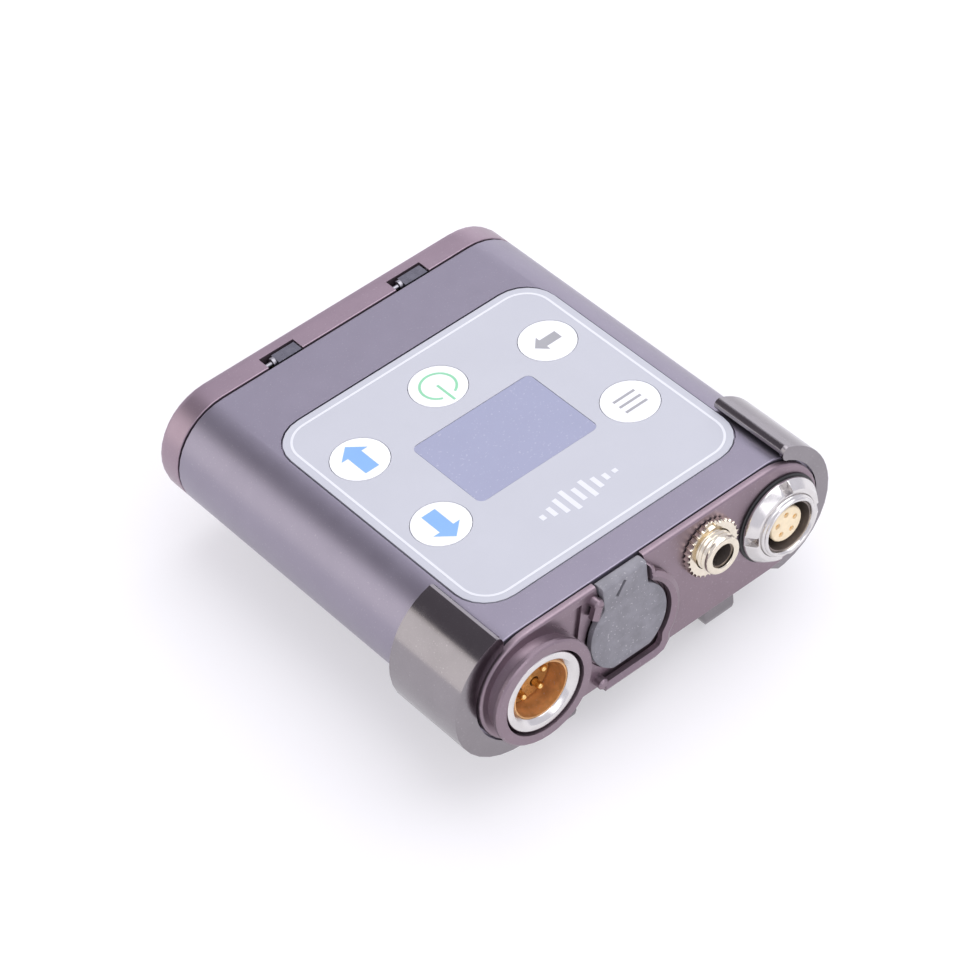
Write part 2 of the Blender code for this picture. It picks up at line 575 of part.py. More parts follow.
def make_paddle():
    top = REST_Z + PADDLE_THICK
    y, z = CLIP_AXIS
    profile = [(y - 0.6, REST_Z), (PADDLE_END - 2.2, REST_Z)]
    profile += arc((PADDLE_END - 2.2, REST_Z + 2.2), (2.2, 2.2), -75, 0, 5)
    profile += arc((PADDLE_END - 1.5, -19.6), (1.5, 1.1), 15, 180, 8)
    profile += [(PADDLE_END - 3.3, -21.4), (PADDLE_END - 4.6, top), (y + 2.2, top), (y + 1.2, top + 0.4)]
    profile += arc(CLIP_AXIS, (1.7, 1.7), -10, 235, 14)
    paddle = prism("clip_paddle", profile, CLIP_X - PADDLE_HALF, CLIP_X + PADDLE_HALF, "clip_black", axis="X",
                   origin=(CLIP_X, y, z))
    cut(paddle, rod("paddle_bore", 0.95, CLIP_X - 20, CLIP_X + 20, CLIP_AXIS, axis="X", steps=16))
    cut(paddle, block("spring_slot", (CLIP_X - 3.2, CLIP_X + 3.2), (y - 4, y + 2.4), (top - 0.4, top + 8)))


def main():
    clear_scene()
    pack = bpy.data.objects.new("pack", None)
    bpy.context.collection.objects.link(pack)
    pack.location = Vector((-CLIP_X, -(JACK_FRONT + DOOR_BACK) / 2, -REST_Z)) * MM
    make_housing()
    make_keypad()
    make_panel()
    make_card()
    make_mic_socket()
    make_jack()
    make_timecode_socket()
    make_electronics()
    make_batteries()
    make_door()
    make_clip()


main()
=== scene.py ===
# %% [markdown]
# # Dressing a lavalier body-pack
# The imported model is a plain, working pack: an aluminium case, a keypad, sockets and a belt clip.
# This lesson gives it its looks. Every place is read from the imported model, so a finished piece
# lands exactly where the working one is. Sections and offsets are in millimetres, and MM turns
# them into the metres that the scene is built in.

# %% Load the working model
import json
from math import cos, pi, radians, sin

import bpy
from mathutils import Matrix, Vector

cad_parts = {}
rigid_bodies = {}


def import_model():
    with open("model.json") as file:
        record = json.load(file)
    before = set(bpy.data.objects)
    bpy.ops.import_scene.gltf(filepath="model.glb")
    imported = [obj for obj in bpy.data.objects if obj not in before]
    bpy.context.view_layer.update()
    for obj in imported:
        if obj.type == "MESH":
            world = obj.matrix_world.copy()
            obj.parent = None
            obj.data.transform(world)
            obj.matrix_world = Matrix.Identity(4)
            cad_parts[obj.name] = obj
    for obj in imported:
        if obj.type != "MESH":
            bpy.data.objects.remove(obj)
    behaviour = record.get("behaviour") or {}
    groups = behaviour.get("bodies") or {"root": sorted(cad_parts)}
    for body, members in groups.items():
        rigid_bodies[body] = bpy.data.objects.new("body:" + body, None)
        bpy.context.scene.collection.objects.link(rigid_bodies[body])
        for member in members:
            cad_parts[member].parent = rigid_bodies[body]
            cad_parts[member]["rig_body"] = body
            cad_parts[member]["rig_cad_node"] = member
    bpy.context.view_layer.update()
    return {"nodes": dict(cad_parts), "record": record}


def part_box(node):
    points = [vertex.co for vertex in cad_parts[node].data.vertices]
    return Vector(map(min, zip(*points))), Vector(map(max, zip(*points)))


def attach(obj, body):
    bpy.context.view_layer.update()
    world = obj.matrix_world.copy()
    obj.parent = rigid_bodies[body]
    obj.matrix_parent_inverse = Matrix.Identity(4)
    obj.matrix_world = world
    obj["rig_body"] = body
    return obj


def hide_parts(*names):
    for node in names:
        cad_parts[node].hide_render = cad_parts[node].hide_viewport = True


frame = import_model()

MM = 0.001
NODES = frame["nodes"]


# %% [markdown]
# Blender's operators act on whatever is selected, and the freshly loaded parts are all selected.
# So the first helpers pick one object, apply one modifier, and find the middle of a working part.

# %% Small helpers
WELD = 1e-6
SMOOTH_BELOW = radians(40)
BEVEL_STEPS = 2
FLAT_FACE_WEIGHT = 80


def only(obj):
    bpy.ops.object.select_all(action="DESELECT")
    obj.select_set(True)
    bpy.context.view_layer.objects.active = obj


def apply_modifier(obj, kind, **settings):
    only(obj)
    modifier = obj.modifiers.new(kind.title(), kind)
    for key, value in settings.items():
        setattr(modifier, key, value)
    bpy.ops.object.modifier_apply(modifier=modifier.name)


def centre(node):
    low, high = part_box(node)
    return (low + high) / 2


def smooth(obj):
    only(obj)
    bpy.ops.object.shade_smooth_by_angle(angle=SMOOTH_BELOW, keep_sharp_edges=False)


def round_edges(obj, width, angle=30):
    """Round every edge sharper than the angle, by this many millimetres."""
    apply_modifier(obj, "BEVEL", width=width * MM, segments=BEVEL_STEPS, limit_method="ANGLE",
                   angle_limit=radians(angle), harden_normals=False, miter_outer="MITER_ARC")
    smooth(obj)
    apply_modifier(obj, "WEIGHTED_NORMAL", keep_sharp=True, weight=FLAT_FACE_WEIGHT)


def settle(obj, body, slot, *replaced, look=None):
    """Hang a finished piece on its body, and let it stand for the working parts it covers."""
    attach(obj, body)
    if replaced:
        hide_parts(*replaced)
    obj.data.materials.clear()
    obj.data.materials.append(FINISHES[look or slot])
    print(obj.name, len(obj.data.polygons), "faces on", body)


# %% [markdown]
# ## Finishes
# Each finish is one Principled shader with three layers of procedural noise on Object coordinates:
# a wide, weak mottle in the colour, a somewhat smaller one in the roughness, and a fine grain in
# the bump. Object coordinates are metres here, so a pattern's size in millimetres is turned into a
# noise scale of 1000 divided by it. Pale dust is a last mix over the colour, where its own noise
# peaks.

# %% The finish maker
FINISHES = {}
WHOLE = (0.0, 1.0)
NOISE_MIDDLE = (0.3, 0.7)
NOISE_PEAKS = (0.66, 0.72)
DUST_COLOUR = (0.8, 0.78, 0.8)
DUST_DETAIL, DUST_ROUGH, GRAIN_DETAIL = 2.0, 0.4, 2.0
WANDER_SHARE = 0.6


def shader_nodes(name):
    made = bpy.data.materials.new(name)
    made.use_nodes = True
    tree = made.node_tree
    shader = tree.nodes["Principled BSDF"]
    coords = tree.nodes.new("ShaderNodeTexCoord")
    return made, tree, shader, coords.outputs["Object"]


def noise(tree, coords, size, detail=3.0, rough=0.55):
    node = tree.nodes.new("ShaderNodeTexNoise")
    node.inputs["Scale"].default_value = 1000 / size
    node.inputs["Detail"].default_value = detail
    node.inputs["Roughness"].default_value = rough
    tree.links.new(coords, node.inputs["Vector"])
    return node.outputs["Fac"]


def remap(tree, value, source, target):
    """Stretch the source range of a value onto the target range."""
    node = tree.nodes.new("ShaderNodeMapRange")
    for key, (low, high) in (("From", source), ("To", target)):
        node.inputs[key + " Min"].default_value = low
        node.inputs[key + " Max"].default_value = high
    tree.links.new(value, node.inputs["Value"])
    return node.outputs["Result"]


def blend(tree, amount, first, second):
    """Mix two colours; each is a colour or another node's output."""
    node = tree.nodes.new("ShaderNodeMix")
    node.data_type = "RGBA"
    tree.links.new(amount, node.inputs["Factor"])
    for socket, value in (("A", first), ("B", second)):
        target = [item for item in node.inputs if item.name == socket and item.type == "RGBA"][0]
        if isinstance(value, tuple):
            target.default_value = (*value, 1.0)
        else:
            tree.links.new(value, target)
    return [item for item in node.outputs if item.type == "RGBA"][0]


def tint(colour, factor):
    return tuple(min(1.0, part * factor) for part in colour)


def finish(slot, colour, roughness, metallic=0.0, mottle=0.08, mottle_size=5.0, wander=0.06,
           grain=0.25, grain_size=0.12, depth=0.01, dust=0.0, dust_size=0.5, coat=0.0):
    made, tree, shader, coords = shader_nodes("finish_" + slot)
    wide = remap(tree, noise(tree, coords, mottle_size), NOISE_MIDDLE, WHOLE)
    base = blend(tree, wide, tint(colour, 1 - mottle), tint(colour, 1 + mottle))
    if dust:
        specks = noise(tree, coords, dust_size, DUST_DETAIL, DUST_ROUGH)
        base = blend(tree, remap(tree, specks, NOISE_PEAKS, (0.0, dust)), base, DUST_COLOUR)
    tree.links.new(base, shader.inputs["Base Color"])
    patches = noise(tree, coords, mottle_size * WANDER_SHARE)
    change = remap(tree, patches, NOISE_MIDDLE, (roughness - wander, roughness + wander))
    tree.links.new(change, shader.inputs["Roughness"])
    bump = tree.nodes.new("ShaderNodeBump")
    bump.inputs["Strength"].default_value = grain
    bump.inputs["Distance"].default_value = depth * MM
    tree.links.new(noise(tree, coords, grain_size, GRAIN_DETAIL), bump.inputs["Height"])
    tree.links.new(bump.outputs["Normal"], shader.inputs["Normal"])
    shader.inputs["Metallic"].default_value = metallic
    shader.inputs["Coat Weight"].default_value = coat
    FINISHES[slot] = made


# %% [markdown]
# The case is bead-blasted and anodised violet-grey, the end panel a warmer mauve, and the door the
# same mauve a shade lighter. All are metals with a matt skin, so they get a high metallic value and
# a middling roughness, and a grain as fine as blasting leaves. The keypad film is a printed
# plastic: no metal, a soft sheen. The belt bracket is a dark metal polished smooth.

# %% The finishes
BLASTED = {"metallic": 0.85, "grain": 0.55, "dust_size": 0.25}
finish("housing_violet", (0.295, 0.27, 0.335), 0.36, mottle=0.02, wander=0.02, dust=0.10, **BLASTED)
finish("panel_mauve", (0.28, 0.215, 0.25), 0.36, mottle=0.04, wander=0.03, dust=0.12, **BLASTED)
finish("door_mauve", (0.335, 0.255, 0.305), 0.36, mottle=0.03, wander=0.02, dust=0.12, **BLASTED)
finish("overlay", (0.505, 0.515, 0.565), 0.42, mottle=0.015, mottle_size=8, wander=0.03,
       grain=0.6, grain_size=0.22)
finish("key_print", (0.86, 0.87, 0.89), 0.42, mottle=0.02, grain=0.35, grain_size=0.25)
finish("lens", (0.32, 0.335, 0.47), 0.30, mottle=0.015, mottle_size=6, wander=0.02,
       grain=0.5, grain_size=0.2, dust=0.22, dust_size=0.3, coat=0.4)
finish("rubber_grey", (0.24, 0.235, 0.26), 0.72, mottle=0.14, mottle_size=2,
       grain=0.6, grain_size=0.2, depth=0.03, dust=0.35, dust_size=0.3)
finish("clip_black", (0.285, 0.265, 0.28), 0.15, 1.0, mottle=0.05, wander=0.03,
       grain=0.2, dust=0.12, dust_size=0.25)
finish("nickel", (0.71, 0.69, 0.68), 0.20, 1.0, mottle=0.05, mottle_size=2,
       grain=0.2, grain_size=0.2)
finish("gold", (0.85, 0.58, 0.24), 0.22, 1.0, mottle_size=1)
finish("amber", (0.52, 0.29, 0.10), 0.28, 0.5, mottle=0.25, mottle_size=1.5, coat=0.5)
finish("cream", (0.92, 0.78, 0.54), 0.45, mottle=0.06, mottle_size=1)
finish("black_plastic", (0.02, 0.02, 0.022), 0.45, mottle=0.15, mottle_size=2, grain=0.4)
finish("hinge_grey", (0.17, 0.165, 0.20), 0.28, 0.8, mottle=0.1, mottle_size=1)
finish("pin_steel", (0.34, 0.33, 0.36), 0.30, 1.0, mottle=0.1, mottle_size=1)
finish("contact_gold", (0.95, 0.62, 0.26), 0.35, 0.4, mottle=0.06, mottle_size=1)
finish("steel", (0.60, 0.60, 0.62), 0.28, 1.0, mottle=0.06, mottle_size=2)
finish("board_green", (0.02, 0.12, 0.05), 0.42, mottle=0.3, mottle_size=2, coat=0.3)
finish("cell_wrap", (0.10, 0.11, 0.14), 0.32, mottle=0.1, coat=0.4)

SLOT_OF = {part["node"]: part["material_slot"] for part in frame["record"]["subparts"]}
for name, node in NODES.items():
    for index in range(len(node.material_slots)):
        node.material_slots[index].material = FINISHES[SLOT_OF[name]]
print("finishes", len(FINISHES))


# %% [markdown]
# ## From working part to finished piece
# Where the working part's shape is right, a copy of it is the best start. Its loose triangles are
# welded, flat neighbours dissolved into one face, and every hard edge gets the small round that
# machining and moulding leave, because a real edge always catches a line of light.
#
# The key discs and the display's window are also spread by a few hundredths of their size. The
# working parts keep a clearance for moving and fitting, and the finished ones leave a hairline.

# %% Refine a working part
FLAT_WITHIN = radians(0.6)
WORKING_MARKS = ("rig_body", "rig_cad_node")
KEY_SPREAD, LENS_SPREAD = (1.045, 1.045), (1.017, 1.023)
KEY_EDGE, LENS_EDGE, STRAP_EDGE, INSERT_EDGE = 0.05, 0.06, 0.14, 0.05


def refined(node, name, edge, spread=(1.0, 1.0)):
    only(NODES[node])
    bpy.ops.object.duplicate()
    piece = bpy.context.object
    piece.name = name
    piece.data.name = name
    piece.parent = None
    for key in WORKING_MARKS:
        if key in piece:
            del piece[key]
    bpy.ops.object.mode_set(mode="EDIT")
    bpy.ops.mesh.customdata_custom_splitnormals_clear()
    bpy.ops.mesh.select_all(action="SELECT")
    bpy.ops.mesh.remove_doubles(threshold=WELD)
    bpy.ops.mesh.dissolve_limited(angle_limit=FLAT_WITHIN)
    bpy.ops.transform.resize(value=(*spread, 1.0), center_override=centre(node))
    bpy.ops.object.mode_set(mode="OBJECT")
    round_edges(piece, edge)
    return piece


REFINED = [
    ("housing", "case_tube", "case", 0.10, None),
    ("connector_panel", "end_panel", "case", 0.10, None),
    ("keypad_overlay", "keypad_film", "case", 0.05, None),
    ("clip_bracket", "clip_saddle", "case", 0.22, None),
    ("clip_paddle", "clip_blade", "clip_paddle", 0.20, None),
    ("battery_door", "door_cap", "battery_door", 0.10, "door_mauve"),
    ("card_cover", "card_flap", "card_cover", 0.14, None),
]
for node, name, body, edge, look in REFINED:
    settle(refined(node, name, edge), body, SLOT_OF[node], node, look=look)
for node in [name for name in NODES if name.startswith("key_")]:
    settle(refined(node, node + "_disc", KEY_EDGE, KEY_SPREAD), node, "key_print", node)
window = refined("lcd_lens", "display_window", LENS_EDGE, LENS_SPREAD)
settle(window, "case", "lens", "lcd_lens")
for side in ("left", "right"):
    node = "hinge_strap_" + side
    strap = refined(node, "door_strap_" + side, STRAP_EDGE)
    settle(strap, "case", "black_plastic", node, look="hinge_grey")

# %% [markdown]
# ## Turning and plating helpers
# A turned part is drawn as half of its section. A circle with one vertex for each point is moved
# onto that section, spun round the part's axis, and the seam is welded. A flat part starts as a
# filled circle whose vertices are moved onto the outline, and is then extruded to its thickness.

# %% Turned and flat pieces
def lathe(name, section, axis_point, steps):
    """Spin a closed section of (radius, depth) points, in millimetres, about a line along Y."""
    bpy.ops.object.select_all(action="DESELECT")
    bpy.ops.mesh.primitive_circle_add(vertices=len(section), radius=1.0, fill_type="NOTHING")
    piece = bpy.context.object
    piece.name = name
    for vertex, (radius, depth) in zip(piece.data.vertices, section):
        vertex.co = Vector((radius * MM, depth * MM, 0.0))
    bpy.ops.object.mode_set(mode="EDIT")
    bpy.ops.mesh.select_all(action="SELECT")
    bpy.ops.mesh.spin(steps=steps, angle=2 * pi, center=(0, 0, 0), axis=(0, 1, 0))
    bpy.ops.mesh.select_all(action="SELECT")
    bpy.ops.mesh.remove_doubles(threshold=WELD)
    bpy.ops.mesh.normals_make_consistent(inside=False)
    bpy.ops.transform.translate(value=axis_point)
    bpy.ops.object.mode_set(mode="OBJECT")
    smooth(piece)
    return piece


def turned(name, node, points, steps, aside=(0.0, 0.0)):
    """Turn a section on a node's axis, or beside it, with depths inwards from its front face."""
    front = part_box(node)[0].y / MM
    middle = centre(node)
    section = [(radius, front + depth) for radius, depth in points]
    place = Vector((middle.x + aside[0] * MM, 0.0, middle.z + aside[1] * MM))
    return lathe(name, section, place, steps)


def tube(inner, outer, start, end):
    return [(inner, start), (outer, start), (outer, end), (inner, end)]


def plate(name, outline, low, high, axis="Z"):
    """A flat piece with this outline, in metres, from low to high along Z or Y."""
    bpy.ops.object.select_all(action="DESELECT")
    bpy.ops.mesh.primitive_circle_add(vertices=len(outline), radius=1.0, fill_type="NGON")
    piece = bpy.context.object
    piece.name = name
    for vertex, (first, second) in zip(piece.data.vertices, outline):
        vertex.co = Vector((first, second, low)) if axis == "Z" else Vector((first, low, second))
    step = (0, 0, high - low) if axis == "Z" else (0, high - low, 0)
    bpy.ops.object.mode_set(mode="EDIT")
    bpy.ops.mesh.select_all(action="SELECT")
    bpy.ops.mesh.extrude_region_move(TRANSFORM_OT_translate={"value": step})
    bpy.ops.mesh.select_all(action="SELECT")
    bpy.ops.mesh.normals_make_consistent(inside=False)
    bpy.ops.object.mode_set(mode="OBJECT")
    return piece


def merge(piece, tool, operation):
    apply_modifier(piece, "BOOLEAN", object=tool, operation=operation, solver="EXACT")
    bpy.data.objects.remove(tool, do_unlink=True)


# %% [markdown]
# ## The keypad's printing
# The film is printed: a pale line just inside its edge, and a symbol on each key. Ink has almost no
# thickness, but a real layer two hundredths of a millimetre thick keeps its crisp edge at any
# distance. The arrows and the power symbol are plain signs; the other two keys carry a small left
# arrow and three menu lines, and a row of sound-level bars fills the free space below the display.

# %% Inks
finish("ink_white", (0.72, 0.73, 0.77), 0.4, mottle=0.01)
finish("ink_blue", (0.22, 0.42, 0.80), 0.45, mottle=0.03)
finish("ink_green", (0.26, 0.62, 0.38), 0.45, mottle=0.03)
finish("ink_grey", (0.36, 0.36, 0.38), 0.45, mottle=0.03)
INK = 0.02 * MM


def printed(name, outline, top, body, ink):
    settle(plate(name, outline, top, top + INK), body, "key_print", look=ink)


# %% The line round the film
LINE_INSET = Vector((1.0, 1.0, 0.0)) * MM
LINE_WIDTH = 0.34 * MM
FILM_CORNER = 5.25 * MM
CORNER_STEPS = 12


def rounded_sheet(name, low, high, corner, level):
    """A flat sheet from low to high with its four corners rounded."""
    bpy.ops.object.select_all(action="DESELECT")
    bpy.ops.mesh.primitive_plane_add(size=1.0, location=(0, 0, 0))
    sheet = bpy.context.object
    sheet.name = name
    bpy.ops.object.mode_set(mode="EDIT")
    bpy.ops.mesh.select_all(action="SELECT")
    bpy.ops.transform.resize(value=(high.x - low.x, high.y - low.y, 1.0))
    middle = (low + high) / 2
    bpy.ops.transform.translate(value=(middle.x, middle.y, level))
    bpy.ops.mesh.bevel(offset=corner, segments=CORNER_STEPS, affect="VERTICES")
    bpy.ops.object.mode_set(mode="OBJECT")
    return sheet


film_low, film_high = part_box("keypad_overlay")
line_low, line_high = film_low + LINE_INSET, film_high - LINE_INSET
line_corner = FILM_CORNER - LINE_INSET.x
border = rounded_sheet("film_border", line_low, line_high, line_corner, film_high.z)
bpy.ops.object.mode_set(mode="EDIT")
bpy.ops.mesh.select_all(action="SELECT")
bpy.ops.mesh.inset(thickness=LINE_WIDTH)
bpy.ops.mesh.delete(type="FACE")
bpy.ops.mesh.select_all(action="SELECT")
bpy.ops.mesh.extrude_region_move(TRANSFORM_OT_translate={"value": (0, 0, INK)})
bpy.ops.mesh.select_all(action="SELECT")
bpy.ops.mesh.normals_make_consistent(inside=False)
bpy.ops.object.mode_set(mode="OBJECT")
settle(border, "case", "key_print", look="ink_white")

# %% The keys' symbols
ARROW_TIP, ARROW_NECK, ARROW_TAIL = 3.1, 1.1, -2.6
ARROW_HEAD, ARROW_SHAFT = 2.15, 1.1
BACK_SIZE, BACK_TURN = 0.7, radians(90)
POWER_RADIUS, POWER_FROM, POWER_TO, POWER_STEPS = 2.45 * MM, -66, 246, 40
POWER_LINE, POWER_BAR, POWER_BAR_DROP = 0.36 * MM, 3.7 * MM, 1.65 * MM
MENU_LINE, MENU_LENGTH, MENU_STEP = 0.42 * MM, 3.6 * MM, 1.25 * MM


def arrow_outline(place, direction, size=1.0, turn=0.0):
    half = [(ARROW_SHAFT, ARROW_TAIL), (ARROW_SHAFT, ARROW_NECK),
            (ARROW_HEAD, ARROW_NECK), (0.0, ARROW_TIP)]
    mirrored = [(-x, y) for x, y in reversed(half[:-1])]
    points = [(x * size * MM, y * size * MM * direction) for x, y in half + mirrored]
    return [(place.x + x * cos(turn) - y * sin(turn), place.y + x * sin(turn) + y * cos(turn))
            for x, y in points]


def bar_outline(x, y, width, height):
    return [(x - width / 2, y - height / 2), (x + width / 2, y - height / 2),
            (x + width / 2, y + height / 2), (x - width / 2, y + height / 2)]


def ring_outline(place, radius, width, start, end, steps):
    angles = [radians(start + (end - start) * i / steps) for i in range(steps + 1)]
    outer, inner = radius + width / 2, radius - width / 2
    there = [(place.x + outer * cos(a), place.y + outer * sin(a)) for a in angles]
    back = [(place.x + inner * cos(a), place.y + inner * sin(a)) for a in reversed(angles)]
    return there + back


def key_face(node):
    middle = centre(node)
    return Vector((middle.x, middle.y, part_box(node)[1].z))


face = key_face("key_up")
printed("print_up", arrow_outline(face, 1), face.z, "key_up", "ink_blue")
face = key_face("key_down")
printed("print_down", arrow_outline(face, -1), face.z, "key_down", "ink_blue")
face = key_face("key_power")
power_ring = ring_outline(face, POWER_RADIUS, POWER_LINE, POWER_FROM, POWER_TO, POWER_STEPS)
printed("print_power_ring", power_ring, face.z, "key_power", "ink_green")
power_bar = bar_outline(face.x, face.y - POWER_BAR_DROP, POWER_LINE, POWER_BAR)
printed("print_power_bar", power_bar, face.z, "key_power", "ink_green")
face = key_face("key_menu")
for row in (-1, 0, 1):
    line = bar_outline(face.x, face.y + row * MENU_STEP, MENU_LENGTH, MENU_LINE)
    printed(f"print_menu_{row + 2}", line, face.z, "key_menu", "ink_grey")
face = key_face("key_back")
left_arrow = arrow_outline(face, 1, BACK_SIZE, BACK_TURN)
printed("print_back", left_arrow, face.z, "key_back", "ink_grey")

# %% Sound-level bars below the display
LEVELS = (0.9, 1.8, 3.0, 4.2, 2.6, 3.6, 2.2, 1.2, 0.7)
LEVEL_STEP, LEVEL_WIDTH = 1.5 * MM, 0.7 * MM
lcd_middle, lcd_front = centre("lcd_lens"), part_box("lcd_lens")[0].y
band_y = (film_low.y + lcd_front) / 2
for index, level in enumerate(LEVELS):
    place_x = lcd_middle.x + (index - len(LEVELS) // 2) * LEVEL_STEP
    level_bar = bar_outline(place_x, band_y, LEVEL_WIDTH, level * MM)
    printed(f"print_level_{index + 1}", level_bar, film_high.z, "case", "ink_white")
print("printing done, band at", round(band_y / MM, 1))

# %% [markdown]
# The card cover has a short slit beside its neck, a real cut a few tenths of a millimetre deep.
# Its two ends are measured sideways from the cover's middle and downwards from just over its top.

# %% Slit in the card cover
SLIT_FROM, SLIT_TO = Vector((0.01, -0.81)), Vector((-1.51, -2.66))
SLIT_HALF, SLIT_DEPTH, ABOVE_COVER = 0.26, 0.45, 0.05
flap_low, flap_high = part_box("card_cover")
slit_zero = Vector((centre("card_cover").x, flap_high.z + ABOVE_COVER * MM))
slit_start, slit_end = slit_zero + SLIT_FROM * MM, slit_zero + SLIT_TO * MM
half_step = (slit_end - slit_start).orthogonal().normalized() * SLIT_HALF * MM
slit_corners = [slit_start - half_step, slit_start + half_step,
                slit_end + half_step, slit_end - half_step]
slit_outline = [tuple(corner) for corner in slit_corners]
slit = plate("slit", slit_outline, flap_low.y - MM, flap_low.y + SLIT_DEPTH * MM, "Y")
merge(bpy.data.objects["card_flap"], slit, "DIFFERENCE")

# %% [markdown]
# ## Connectors
# The microphone socket is a nickel ring with a chamfered mouth, lined with brown insulator, and
# its pins have round noses. The headphone jack has a threaded barrel and a knurled nut with a
# spanner notch. The five-pole socket has a slotted, bevelled nut over a black washer. Each section
# below is a closed list of (radius, depth) points, with depths inwards from the part's front face.

# %% Microphone socket
finish("nickel_warm", (0.80, 0.73, 0.61), 0.16, 1.0, mottle=0.06, mottle_size=1)
finish("barrel_brown", (0.72, 0.40, 0.17), 0.34, 0.6, mottle=0.3, mottle_size=2,
       dust=0.3, dust_size=0.3)
finish("grey_brown", (0.26, 0.22, 0.20), 0.35, 0.7, mottle=0.15, mottle_size=1.5)

SHELL_DEPTH = 12.0
MOUTH = [(4.92, 0.0), (4.98, -0.03), (5.66, -0.03), (5.80, 0.03), (5.90, 0.18),
         (5.90, SHELL_DEPTH), (4.27, SHELL_DEPTH), (4.27, 0.62), (4.34, 0.52), (4.84, 0.06)]
MIC_LINING = tube(4.05, 4.24, 0.66, SHELL_DEPTH)
PIN_NOSE = [(0.0, 0.0), (0.18, 0.02), (0.34, 0.1), (0.45, 0.24), (0.5, 0.45)]
PIN_RADIUS, PIN_COUNT = 0.5, 5

mic_ring = turned("mic_ring", "mic_socket_shell", MOUTH, steps=96)
settle(mic_ring, "case", "nickel", "mic_socket_shell")
mic_liner = turned("mic_liner", "mic_socket_shell", MIC_LINING, steps=80)
settle(mic_liner, "case", "amber", look="barrel_brown")
for index in range(1, PIN_COUNT + 1):
    node = f"mic_pin_{index}"
    low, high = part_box(node)
    length = (high.y - low.y) / MM
    pin_section = PIN_NOSE + [(PIN_RADIUS, length), (0.0, length)]
    mic_contact = turned(f"mic_contact_{index}", node, pin_section, steps=24)
    settle(mic_contact, "case", "gold", node)

# %% Headphone jack
CREST, ROOT, FLANK, PITCH, TURNS = 2.86, 2.58, 2.68, 0.62, 3
FIRST_TURN, BARREL_BORE, BARREL_END = 0.95, 1.8, 6.4
BARREL_MOUTH = [(BARREL_BORE, 0.16), (1.92, 0.03), (2.1, 0.0), (2.42, 0.0),
                (2.62, 0.06), (2.74, 0.2), (2.76, 0.62), (ROOT, 0.78)]
THREAD_TURN = [(FLANK, 0.0), (CREST, 0.16), (CREST, 0.26), (FLANK, 0.42), (ROOT, 0.5)]
JACK_LINING = tube(1.66, 1.79, 0.55, 6.3)

barrel_section = list(BARREL_MOUTH)
for turn in range(TURNS):
    start = FIRST_TURN + turn * PITCH
    barrel_section += [(radius, start + along) for radius, along in THREAD_TURN]
barrel_section += [(ROOT, BARREL_END), (BARREL_BORE, BARREL_END)]
barrel = turned("jack_barrel", "headphone_jack_barrel", barrel_section, steps=72)
settle(barrel, "case", "nickel", "headphone_jack_barrel", look="nickel_warm")
jack_liner = turned("jack_liner", "headphone_jack_barrel", JACK_LINING, steps=48)
settle(jack_liner, "case", "nickel", look="grey_brown")

# %% The jack's knurled nut
TEETH = 30
TOOTH = ((0.0, 0.915), (0.30, 0.925), (0.5, 1.0), (0.7, 0.925))
NUT_BORE, BORE_STEPS, NUT_EDGE = 2.98, 64, 0.06
NOTCH_PLACE, NOTCH_WIDTH, NOTCH_HEIGHT, NOTCH_DEPTH = 4.2, 1.15, 1.5, 0.62
nut_low, nut_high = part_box("headphone_jack_nut")
nut_middle = centre("headphone_jack_nut")
tip_radius = (nut_high.x - nut_low.x) / 2


def round_nut(radius, turn):
    return nut_middle.x + radius * cos(turn), nut_middle.z + radius * sin(turn)


teeth = [round_nut(tip_radius * radius, 2 * pi * (tooth + share) / TEETH)
         for tooth in range(TEETH) for share, radius in TOOTH]
nut = plate("jack_nut", teeth, nut_low.y, nut_high.y, "Y")
bore = [round_nut(NUT_BORE * MM, 2 * pi * i / BORE_STEPS) for i in range(BORE_STEPS)]
merge(nut, plate("nut_bore", bore, nut_low.y - MM, nut_high.y + MM, "Y"), "DIFFERENCE")
notch_z = nut_middle.z + NOTCH_PLACE * MM
notch = bar_outline(nut_middle.x, notch_z, NOTCH_WIDTH * MM, NOTCH_HEIGHT * MM)
notch_floor = nut_low.y + NOTCH_DEPTH * MM
merge(nut, plate("nut_notch", notch, nut_low.y - MM, notch_floor, "Y"), "DIFFERENCE")
round_edges(nut, NUT_EDGE)
settle(nut, "case", "nickel", "headphone_jack_nut", look="nickel_warm")

# %% Five-pole socket
RIM = [(3.74, 0.45), (3.86, 0.12), (3.98, 0.0), (4.22, 0.0), (4.32, 0.1),
       (4.36, 0.3), (4.52, 0.42), (4.6, 0.52), (4.6, 10.0), (3.74, 10.0)]
SYNC_LINING = tube(3.6, 3.73, 0.5, 7.0)
SYNC_FLOOR = tube(0.0, 3.72, 7.02, 7.3)
BEVELLED_NUT = [(4.66, 0.05), (4.74, 0.0), (5.25, 0.0), (5.42, 0.06),
                (6.22, 1.12), (6.3, 1.28), (6.3, 1.65), (4.66, 1.65)]
WASHER = [(4.8, 0.05), (4.85, 0.0), (6.5, 0.0), (6.58, 0.06), (6.58, 0.2), (4.8, 0.2)]
CONTACT = [(0.26, 0.35), (0.40, 0.30), (0.40, 2.0), (0.26, 2.0)]
SLOT_COUNT, SLOT_TURN, SLOT_DEPTH = 4, radians(5), 1.25
SLOT_CORNERS = [(5.0, -0.72), (7.0, -0.72), (7.0, 0.72), (5.0, 0.72)]
SYNC_NUT_EDGE, SYNC_NUT_ANGLE = 0.05, 35
CONTACT_COUNT, CONTACT_CIRCLE, CONTACT_FIRST = 5, 1.55, 15

